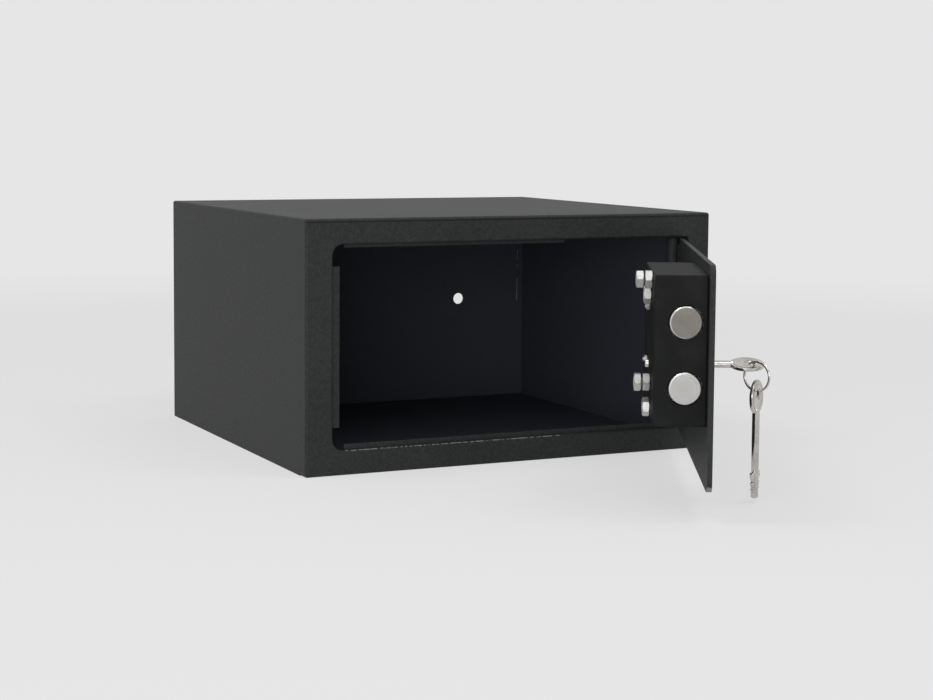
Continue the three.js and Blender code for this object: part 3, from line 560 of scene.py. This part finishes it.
def newTree(name, sizes):
    tree = bpy.data.node_groups.new(name, "GeometryNodeTree")
    tree.interface.new_socket("Geometry", in_out="OUTPUT", socket_type="NodeSocketGeometry")
    for label, value in sizes.items():
        kind = "NodeSocketInt" if isinstance(value, int) else "NodeSocketFloat"
        socket = tree.interface.new_socket(label, in_out="INPUT", socket_type=kind)
        socket.default_value = value
    tree.interface.new_socket("Finish", in_out="INPUT", socket_type="NodeSocketMaterial")
    graph = Graph(tree)
    entry = tree.nodes.new("NodeGroupInput")
    return tree, graph, {socket.name: Wire(graph, socket) for socket in entry.outputs if socket.name}


def closeTree(graph, geometry, finish):
    real = graph.add("GeometryNodeRealizeInstances", None, {0: geometry})
    painted = graph.add("GeometryNodeSetMaterial", None, {"Geometry": real, "Material": finish})
    graph.add("NodeGroupOutput", None, {"Geometry": painted})


def runTree(name, tree, sizes, material, matrix, smoothAngle):
    thing = newThing(name, bpy.data.meshes.new(name))
    modifier = thing.modifiers.new(name, "NODES")
    modifier.node_group = tree
    for item in tree.interface.items_tree:
        if item.in_out == "INPUT" and item.name in sizes:
            modifier[item.identifier] = sizes[item.name]
        if item.in_out == "INPUT" and item.name == "Finish":
            modifier[item.identifier] = material
    mesh = plainMesh(thing)
    mesh.name = name
    mesh.transform(matrix)
    smoothByAngle(mesh, smoothAngle)
    return mesh


# Threaded rod: a core with a thread wound round it. The shares are of the pitch or the thread's depth.

thread = {
    "radius": 0.004, "pitch": 0.00125, "steps": 24, "smooth": 30.0,
    "depthShare": 0.5, "coreShare": 1.1, "liftShare": 0.6, "shortBy": 1.2,
}


def threadTree():
    tree, graph, given = newTree("threadedRod", {
        "Radius": thread["radius"], "Pitch": thread["pitch"], "Length": 0.01, "Steps": thread["steps"]})
    radius, pitch, length, steps = (given[label] for label in ("Radius", "Pitch", "Length", "Steps"))
    turns = length / pitch - thread["shortBy"]
    depth = pitch * thread["depthShare"]
    coil = graph.add("GeometryNodeCurveSpiral", None, {
        "Resolution": steps, "Rotations": turns, "Start Radius": radius - depth,
        "End Radius": radius - depth, "Height": turns * pitch})
    upright = graph.add("GeometryNodeSetCurveNormal", {"mode": "Z_UP"}, {0: coil})
    section = graph.add("GeometryNodeCurvePrimitiveCircle", {"mode": "RADIUS"}, {
        "Resolution": 4, "Radius": depth})
    ridge = graph.add("GeometryNodeCurveToMesh", None, {0: upright, 1: section, "Fill Caps": True})
    raised = graph.add("GeometryNodeTransform", None, {
        "Geometry": ridge, "Translation": graph.vector(z=pitch * thread["liftShare"])})
    core = graph.add("GeometryNodeMeshCylinder", {"fill_type": "NGON"}, {
        "Vertices": steps, "Radius": radius - depth * thread["coreShare"], "Depth": length}, "Mesh")
    standing = graph.add("GeometryNodeTransform", None, {
        "Geometry": core, "Translation": graph.vector(z=length * 0.5)})
    both = graph.add("GeometryNodeJoinGeometry", None, {0: raised})
    graph.tree.links.new(standing.socket, both.socket.node.inputs[0])
    closeTree(graph, both, given["Finish"])
    return tree


# The length of a round rod of a given radius along a level direction, from its box
def lengthAlong(node, direction, radius):
    low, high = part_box(node)
    share = abs(direction.x)
    return (high[0] - low[0] - 2 * radius * math.sqrt(1 - share * share)) / share


# Stands a piece that was built up from the floor into the door's depth
def rodMatrix(start):
    upwards = Vector((0.0, 0.0, 1.0))
    return Matrix.Translation(start) @ upwards.rotation_difference(inward).to_matrix().to_4x4()


rodTree = threadTree()
for place in ("top", "upper", "lower", "bottom"):
    nodeName, pieceName = "case_stud_" + place, "caseStud_" + place
    studLength = lengthAlong(nodeName, inward, thread["radius"])
    studStart = middleOf(nodeName) - inward * (studLength / 2)
    studSizes = {
        "Radius": thread["radius"], "Pitch": thread["pitch"], "Length": studLength,
        "Steps": thread["steps"]}
    studPart = runTree(pieceName, rodTree, studSizes, zincPlate, rodMatrix(studStart), thread["smooth"])
    addPiece(pieceName, studPart, zincPlate, "door", (nodeName,))
print("studs done")


# Round bolts, turned from bar with a chamfered end. The corner's places are shares of the chamfer,
# back from the face and in from the side.

roundBolt = {
    "radius": 0.0125, "length": 0.036, "chamfer": 0.0009, "backEdge": 0.0004, "steps": 96,
    "corner": ((0.0, 1.2), (0.0, 1.0), (0.1, 0.8), (0.8, 0.1), (1.0, 0.0)),
    # Each bolt's face is painted its own tone for the reflection it shows: painted reflection, darker on the
    # upper bolt than on the lower
    "reflectionTones": {
        "upper": ((0.170, 0.160, 0.145, 1.0), (0.125, 0.119, 0.108, 1.0)),
        "lower": ((0.42, 0.413, 0.40, 1.0), (0.34, 0.333, 0.323, 1.0))},
    # A pale ring at the chamfer: painted highlight
    "rim": (0.80, 0.79, 0.77, 1.0),
    "rimHighlightEnds": (1.1, 0.8),
    "rings": (5200.0, 2.0, 0.7),
    "wideRings": (900.0, 2.0, 0.5),
    "cloud": (75.0, 3.0, 0.6),
    "toneShares": (0.5, 0.5),  # of cloud and wide rings
    "toneEnds": (0.35, 0.7),
    "roughness": 0.30,
    "roughMoves": (0.2, 0.12),  # by rings and cloud
    "bumpShares": (0.6, 0.4),  # of rings and wide rings
    "bump": (0.5, 0.00005),
}
latheSmooth = 28.0


# A turned face shows rings round its own axis, so its pattern is centred and turned on the bolt
def turnedSteel(name, centre, turn, light, dark):
    bolt = roundBolt
    material, graph = newFinish(name)
    place = graph.add("ShaderNodeMapping", {"vector_type": "TEXTURE"}, {
        "Vector": graph.place(), "Location": centre, "Rotation": turn}, "Vector")
    side, rise = graph.split(place)[1:]
    radius = (side * side + rise * rise) ** 0.5
    ringPlace = graph.vector(radius)
    rings = graph.noise(ringPlace, *bolt["rings"])
    wideRings = graph.noise(ringPlace, *bolt["wideRings"])
    cloud = graph.noise(place, *bolt["cloud"])
    darker = graph.step(blended((cloud, wideRings), bolt["toneShares"]), *bolt["toneEnds"])
    tone = graph.mixColour(darker, light, dark)
    # The chamfer's ring is painted pale, a painted highlight
    start, end = (bolt["radius"] - bolt["chamfer"] * share for share in bolt["rimHighlightEnds"])
    tone = graph.mixColour(graph.step(radius, start, end), tone, bolt["rim"])
    closeFinish(
        graph, Base_Color=tone, Metallic=1.0,
        Roughness=varied(bolt["roughness"], (rings, cloud), bolt["roughMoves"]),
        Normal=graph.bump(blended((rings, wideRings), bolt["bumpShares"]), *bolt["bump"]))
    return material


# A shape turned round the X axis from pairs of place along it and radius
def latheMesh(name, profile, steps, matrix):
    builder = bmesh.new()
    angles = [2 * math.pi * step / steps for step in range(steps)]
    rows = []
    for along, radius in profile:
        if radius == 0:
            rows.append([builder.verts.new((along, 0.0, 0.0))] * steps)
        else:
            rows.append([builder.verts.new((along, radius * math.cos(angle), radius * math.sin(angle)))
                         for angle in angles])
    for row, after in zip(rows, rows[1:]):
        for step in range(steps):
            corner = (step + 1) % steps
            points = list(dict.fromkeys((row[step], row[corner], after[corner], after[step])))
            if len(points) > 2:
                builder.faces.new(points)
    mesh = cleanMesh(name, builder, matrix)
    smoothByAngle(mesh, latheSmooth)
    return evenNormals(mesh)


def boltPiece(place):
    nodeName, pieceName = "bolt_" + place, "roundBolt_" + place
    centre = middleOf(nodeName)
    bolt = roundBolt
    half, radius, chamfer, edge = bolt["length"] / 2, bolt["radius"], bolt["chamfer"], bolt["backEdge"]
    corner = [(half - chamfer * back, radius - chamfer * side) for back, side in bolt["corner"]]
    profile = [(half, 0), (half, radius * 0.5)] + corner + [
        (-half + edge, radius), (-half, radius - edge), (-half, 0)]
    mesh = latheMesh(pieceName, profile, bolt["steps"], alongX(towardsEdge, centre))
    heading = math.atan2(towardsEdge.y, towardsEdge.x)
    material = turnedSteel("turnedSteel_" + place, centre, (0.0, 0.0, heading), *bolt["reflectionTones"][place])
    addPiece(pieceName, mesh, material, "bolts", (nodeName,))


boltPiece("upper")
boltPiece("lower")
print("bolts done")


# Keys: oval bow with a raised rim and a hole, turned shaft with a pointed end, double stepped bit.
# In its own frame the shaft lies along Y with the bow towards -Y, flat in YZ.

key = {
    "outside": 0.0476, "inside": 0.048, "fromEdge": 0.089, "height": 0.111, "turn": -106.0, "smooth": 30.0,
    "bowLength": 0.0275, "bowWidth": 0.024, "bowThickness": 0.0026, "bowSteps": 64, "bowSoft": 0.00045,
    "bowSoftMiddle": 0.3, "holeRadius": 0.0035, "holeFromEnd": 0.0112, "holeLip": 0.0009,
    "lipFoot": 0.0013, "rim": 0.0022, "rimFoot": 0.0004, "dish": 0.00035,
    "shaftRadius": 0.003, "shaftSteps": 48, "neckEnd": 0.0004,
    "neck": ((0.0042, 0), (0.0042, 0.0014), (0.0034, 0.0021), (0.002, 0.0027)),  # back from the bow's end
    "point": 0.001, "pointRadius": 0.0012, "pointSoft": 0.0001, "shoulder": 0.00018,
    "bitStart": 0.0265, "bitEnd": 0.0404, "bitRadius": 0.008, "bitThickness": 0.0024,
    "bitEdge": 0.00018, "bitSegments": 2, "cuts": (0.0012, 0.0028, 0.0008, 0.0020, 0.0032),
    "leverFront": 0.0310, "leverPitch": 0.0018, "leverThickness": 0.0014,
}


def bowMesh():
    half, soft = key["bowThickness"] / 2, key["bowSoft"]
    middle = soft * key["bowSoftMiddle"]
    centreY = -key["outside"] + key["bowLength"] / 2
    holeY = -key["outside"] + key["holeFromEnd"]
    floor = half - key["dish"]
    builder = bmesh.new()
    grid = []
    for step in range(key["bowSteps"]):
        angle = 2 * math.pi * step / key["bowSteps"]
        across, aside = math.cos(angle), math.sin(angle)
        hole = Vector((holeY + key["holeRadius"] * across, key["holeRadius"] * aside))
        rim = Vector((centreY + key["bowLength"] / 2 * across, key["bowWidth"] / 2 * aside))
        out = (rim - hole).normalized()
        reach = (rim - hole).length
        stations = [
            (0.0, half - soft), (soft, half), (key["holeLip"], half), (key["lipFoot"], floor),
            (reach - key["rim"] - key["rimFoot"], floor), (reach - key["rim"], half),
            (reach - soft, half), (reach - middle, half - middle), (reach, half - soft)]
        column = stations + [(along, -rise) for along, rise in reversed(stations)]
        grid.append([builder.verts.new((rise, *(hole + out * along))) for along, rise in column])
    closedSkin(builder, grid)
    return cleanMesh("bow", builder)


def bitMesh():
    half = key["bitThickness"] / 2
    start, end, top = key["bitStart"], key["bitEnd"], key["bitRadius"]
    pad = (key["leverPitch"] - key["leverThickness"]) / 2
    upper = [(start, top)]
    for row, depth in enumerate(key["cuts"]):
        low = key["leverFront"] + row * key["leverPitch"] - pad
        high = low + key["leverPitch"]
        if row == 0:
            upper.append((low, top))
        upper += [(low, top - depth), (high, top - depth)]
    upper += [(high, top), (end, top)]
    outline = upper + [(along, -rise) for along, rise in reversed(upper)]
    builder = bmesh.new()
    front = [builder.verts.new((half, along, rise)) for along, rise in outline]
    back = [builder.verts.new((-half, along, rise)) for along, rise in outline]
    builder.faces.new(front)
    builder.faces.new(list(reversed(back)))
    for index in range(len(outline)):
        after = (index + 1) % len(outline)
        builder.faces.new((front[index], back[index], back[after], front[after]))
    thing = newThing("bit", cleanMesh("bit", builder))
    addBevel(thing, key["bitEdge"], key["bitSegments"])
    return plainMesh(thing)


def shaftMesh():
    radius, tip, point, soft = key["shaftRadius"], key["inside"], key["pointRadius"], key["pointSoft"]
    bowEnd = -key["outside"] + key["bowLength"]
    shoulder = tip - key["point"]
    profile = [(bowEnd - back, width) for back, width in key["neck"]] + [
        (bowEnd - key["neckEnd"], radius), (shoulder - soft * 2, radius),
        (shoulder + soft, radius - key["shoulder"]), (tip - soft, point + soft),
        (tip, point - soft), (tip, 0)]
    return latheMesh("shaft", profile, key["shaftSteps"], Matrix.Rotation(math.pi / 2, 4, "Z"))


def keyMesh(name, matrix):
    builder = bmesh.new()
    for part in (bowMesh(), shaftMesh(), bitMesh()):
        builder.from_mesh(part)
    bmesh.ops.transform(builder, matrix=matrix, verts=builder.verts)
    mesh = meshOf(name, builder)
    smoothByAngle(mesh, key["smooth"])
    return mesh


keyX = key["fromEdge"] - leaf["width"]
keyMatrix = (leafMatrix @ Matrix.Translation((keyX, 0.0, key["height"]))
             @ Matrix.Rotation(math.radians(key["turn"]), 4, "Y"))
addPiece("doorKey", keyMesh("doorKey", keyMatrix), nickelPlate, "key", ("key",))

ring = {
    "radius": 0.0117, "wire": 0.0016, "width": 0.002, "drop": 0.009, "fromDoor": 0.0413, "aside": 0.0046,
    "yaw": 40.0, "spareYaw": 28.0, "spareHang": 0.0006,
    "steps": 72, "turns": 1.94, "wireSteps": 12, "cross": (0.44, 0.56), "widthShare": 0.48, "smooth": 40.0,
}
ringCentre = Vector((keyX - ring["aside"], -ring["fromDoor"], key["height"] - ring["drop"]))
wireTop = ringCentre.z - ring["radius"] + ring["wire"] / 2
hanging = Matrix.Translation((ringCentre.x, ringCentre.y, wireTop + ring["spareHang"] - key["holeRadius"]))
spareMatrix = (leafMatrix @ hanging @ Matrix.Rotation(math.radians(90.0 - ring["spareYaw"]), 4, "Z")
               @ Matrix.Translation((0.0, 0.0, -key["outside"] + key["holeFromEnd"]))
               @ Matrix.Rotation(-math.pi / 2, 4, "X"))
addPiece("spareKey", keyMesh("spareKey", spareMatrix), nickelPlate, "spare", ("spare_key",))
print("keys done")


# Split ring: two turns of flat wire, stepping over where one turn passes the other

def ringTree(sizes):
    tree, graph, given = newTree("splitRing", sizes)
    coil = graph.add("GeometryNodeCurveSpiral", None, {
        "Resolution": given["Steps"], "Rotations": given["Turns"], "Start Radius": given["Radius"],
        "End Radius": given["Radius"], "Height": 0.0})
    share = graph.add("GeometryNodeSplineParameter", output="Factor")
    stepped = graph.step(share, *ring["cross"]) * given["Width"] * 0.5 - given["Width"] * 0.25
    wound = graph.add("GeometryNodeSetPosition", None, {"Geometry": coil, "Offset": graph.vector(z=stepped)})
    upright = graph.add("GeometryNodeSetCurveNormal", {"mode": "Z_UP"}, {0: wound})
    section = graph.add("GeometryNodeCurvePrimitiveCircle", {"mode": "RADIUS"}, {
        "Resolution": ring["wireSteps"], "Radius": given["Wire"] * 0.5})
    squeeze = graph.vector(1.0, given["Width"] * ring["widthShare"] / given["Wire"], 1.0)
    flat = graph.add("GeometryNodeTransform", None, {"Geometry": section, "Scale": squeeze})
    wire = graph.add("GeometryNodeCurveToMesh", None, {0: upright, 1: flat, "Fill Caps": True})
    closeTree(graph, wire, given["Finish"])
    return tree


ringMatrix = (leafMatrix @ Matrix.Translation(ringCentre)
              @ Matrix.Rotation(-math.radians(ring["yaw"]), 4, "Z")
              @ Matrix.Rotation(math.pi / 2, 4, "Y"))
ringSizes = {
    "Radius": ring["radius"], "Wire": ring["wire"], "Width": ring["width"], "Steps": ring["steps"],
    "Turns": ring["turns"]}
ringPart = runTree("splitRing", ringTree(ringSizes), ringSizes, nickelPlate, ringMatrix, ring["smooth"])
addPiece("splitRing", ringPart, nickelPlate, "ring", ("key_ring",))
print("ring done")


# Welds: overlapping drops along a straight line, each of its own size

weld = {
    "smallest": (0.85, 0.8, 0.7), "largest": (1.1, 1.1, 0.95), "segments": 10, "rings": 6,
    "firstSeed": 3, "smooth": 60.0,
    "tube": {"length": 0.018, "size": 0.0013, "drops": 14, "heights": (0.030, 0.075, 0.127, 0.172),
             "side": 0.0026, "depth": 0.0043},
    "seam": {"x": 0.1915, "y": 0.1853, "size": 0.0009,
             "runs": ((0.106, 0.024, 18), (0.143, 0.003, 3), (0.150, 0.011, 9))},  # start, length, drops
}


def beadTree():
    tree, graph, given = newTree("weldBead", {"Length": 0.02, "Size": 0.0016, "Drops": 14, "Seed": 3})
    path = graph.add("GeometryNodeMeshLine", {"mode": "END_POINTS"}, {
        "Count": given["Drops"], "Offset": graph.vector(given["Length"])}, "Mesh")
    drop = graph.add("GeometryNodeMeshUVSphere", None, {
        "Segments": weld["segments"], "Rings": weld["rings"], "Radius": given["Size"]}, "Mesh")
    size = graph.add("FunctionNodeRandomValue", {"data_type": "FLOAT_VECTOR"}, {
        0: graph.vector(*weld["smallest"]), 1: graph.vector(*weld["largest"]), "Seed": given["Seed"]}, 0)
    drops = graph.add("GeometryNodeInstanceOnPoints", None, {
        "Points": path, "Instance": drop, "Scale": size})
    closeTree(graph, drops, given["Finish"])
    return tree


# Every run goes up from its start; the runs of one piece share one mesh
def weldPiece(name, runs, finish, carrier):
    upwards = Matrix.Rotation(-math.pi / 2, 4, "Y")
    builder = bmesh.new()
    for seed, (start, length, size, drops) in enumerate(runs, weld["firstSeed"]):
        sizes = {"Length": length, "Size": size, "Drops": drops, "Seed": seed}
        matrix = Matrix.Translation(start) @ upwards
        builder.from_mesh(runTree("run", weldTree, sizes, finish, matrix, weld["smooth"]))
    mesh = meshOf(name, builder)
    smoothByAngle(mesh, weld["smooth"])
    addPiece(name, mesh, finish, carrier)


weldTree = beadTree()

# Where the hinge tube is welded to the leaf: short runs down both of its sides
tubeWeld = weld["tube"]
weldPiece("tubeWelds", [
    (onLeaf(side * tubeWeld["side"] - leaf["inset"], tubeWeld["depth"], height),
     tubeWeld["length"], tubeWeld["size"], tubeWeld["drops"])
    for height in tubeWeld["heights"] for side in (-1, 1)], hingeCoat, "door")

# The seam where the back is welded in, beside its right inner corner
seam = weld["seam"]
weldPiece("backSeam", [
    (Vector((seam["x"], seam["y"], low)), length, seam["size"], drops)
    for low, length, drops in seam["runs"]], rawSteel, "body")
print("welds done")


# CAD nodes that stay: the works inside the case and the small fasteners

leverRows = range(1, 6)
kept = {
    rawSteel: ["lock_tray", "lock_cover", "bolt_carriage", "lock_stump"],
    zincPlate: ["bolt_screw_lower", "bolt_screw_upper", "link_screw"]
    + [f"lock_screw_{place}" for place in nut["lock"]["turns"]],
    lockBrass: ["lock_bolt", "lock_rotor"] + [f"lever_{row}" for row in leverRows],
    springSteel: [f"lever_spring_{row}" for row in leverRows],
}
for material, names in kept.items():
    for name in names:
        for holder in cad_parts[name].material_slots:
            holder.material = material
print("inner works painted")


# Floor, light and camera

studio = {
    "backdrop": 0.791, "skyLevel": 0.50, "floorReach": 40.0, "floorShade": 0.30, "floorShadeEnds": (0.7, 2.2),
    "lamps": {
        "highLeft": {"at": (-0.96, 0.0, 2.1), "size": 0.6, "power": 9.0},
        "highRight": {"at": (0.87, -0.98, 2.1), "size": 0.6, "power": 8.0},
        "topFront": {"at": (-0.3, -1.6, 1.9), "size": 1.4, "power": 9.0},
        "leftFront": {"at": (-1.8, -1.5, 0.5), "size": 0.9, "power": 5.0},
        "leftLow": {"at": (-1.2, -2.0, 0.25), "size": 0.8, "power": 10.5},
    },
    "aim": (0.0, -0.1, 0.1),
}


# The floor glows evenly where the camera sees it, and takes a share of the real shade near the safe
def makeFloor():
    reach = studio["floorReach"]
    mesh = bpy.data.meshes.new("floor")
    mesh.from_pydata(
        [(-reach, -reach, 0), (reach, -reach, 0), (reach, reach, 0), (-reach, reach, 0)], [], [(0, 1, 2, 3)])
    material, graph = newFinish("paleFloor")
    pale = (studio["backdrop"],) * 3 + (1.0,)
    matte = graph.add("ShaderNodeBsdfDiffuse", None, {"Color": pale})
    glow = graph.add("ShaderNodeEmission", None, {"Color": pale, "Strength": 1.0})
    seen = graph.rays("Is Camera Ray", "Is Glossy Ray")
    away = graph.measure("LENGTH", graph.place())
    matteShare = (1.0 - graph.step(away, *studio["floorShadeEnds"])) * studio["floorShade"]
    mixed = graph.add("ShaderNodeMixShader", None, {0: seen * (1.0 - matteShare), 1: matte, 2: glow})
    graph.add("ShaderNodeOutputMaterial", None, {"Surface": mixed})
    mesh.materials.append(material)
    newThing("floor", mesh)


# The backdrop's own level is for what is seen of it; the light on the safe has a level of its own
def makeWorld():
    world = bpy.data.worlds.new("studio")
    bpy.context.scene.world = world
    world.use_nodes = True
    world.node_tree.nodes.clear()
    graph = Graph(world.node_tree)
    seen = graph.rays("Is Camera Ray", "Is Glossy Ray", "Is Transmission Ray")
    shown = seen.calc("MINIMUM", seen, 1.0)
    level = shown * studio["backdrop"] + (1.0 - shown) * studio["skyLevel"]
    back = graph.add("ShaderNodeBackground", None, {"Color": (1.0, 1.0, 1.0, 1.0), "Strength": level})
    graph.add("ShaderNodeOutputWorld", None, {"Surface": back})


def makeLamps():
    for name, lamp in studio["lamps"].items():
        data = bpy.data.lights.new(name, "AREA")
        data.shape = "SQUARE"
        data.size = lamp["size"]
        data.energy = lamp["power"]
        ahead = Vector(studio["aim"]) - Vector(lamp["at"])
        thing = newThing(name, data)
        thing.location = lamp["at"]
        thing.rotation_euler = ahead.to_track_quat("-Z", "Y").to_euler()
        thing.visible_camera = False


camera = {
    "yaw": 25.709, "pitch": 5.0, "roll": 0.449, "at": (-0.7716, -1.6865, 0.3030), "lens": 73.71,
    "shiftY": -0.0665, "sensor": 36.0, "clip": (0.05, 60.0),
}


def makeCamera():
    yaw, pitch, roll = (math.radians(camera[turn]) for turn in ("yaw", "pitch", "roll"))
    ahead = Vector((math.sin(yaw) * math.cos(pitch), math.cos(yaw) * math.cos(pitch), -math.sin(pitch)))
    right = Vector((math.cos(yaw), -math.sin(yaw), 0.0))
    up = right.cross(ahead)
    rolledRight = right * math.cos(roll) + up * math.sin(roll)
    rolledUp = up * math.cos(roll) - right * math.sin(roll)
    turned = Matrix((rolledRight, rolledUp, -ahead)).transposed().to_4x4()
    data = bpy.data.cameras.new("photoView")
    data.lens = camera["lens"]
    data.sensor_width = camera["sensor"]
    data.shift_y = camera["shiftY"]
    data.clip_start, data.clip_end = camera["clip"]
    thing = newThing("photoView", data)
    thing.matrix_world = Matrix.Translation(camera["at"]) @ turned
    bpy.context.scene.camera = thing


makeFloor()
makeWorld()
makeLamps()
makeCamera()
bpy.context.scene.view_settings.view_transform = "Standard"
print("studio done")
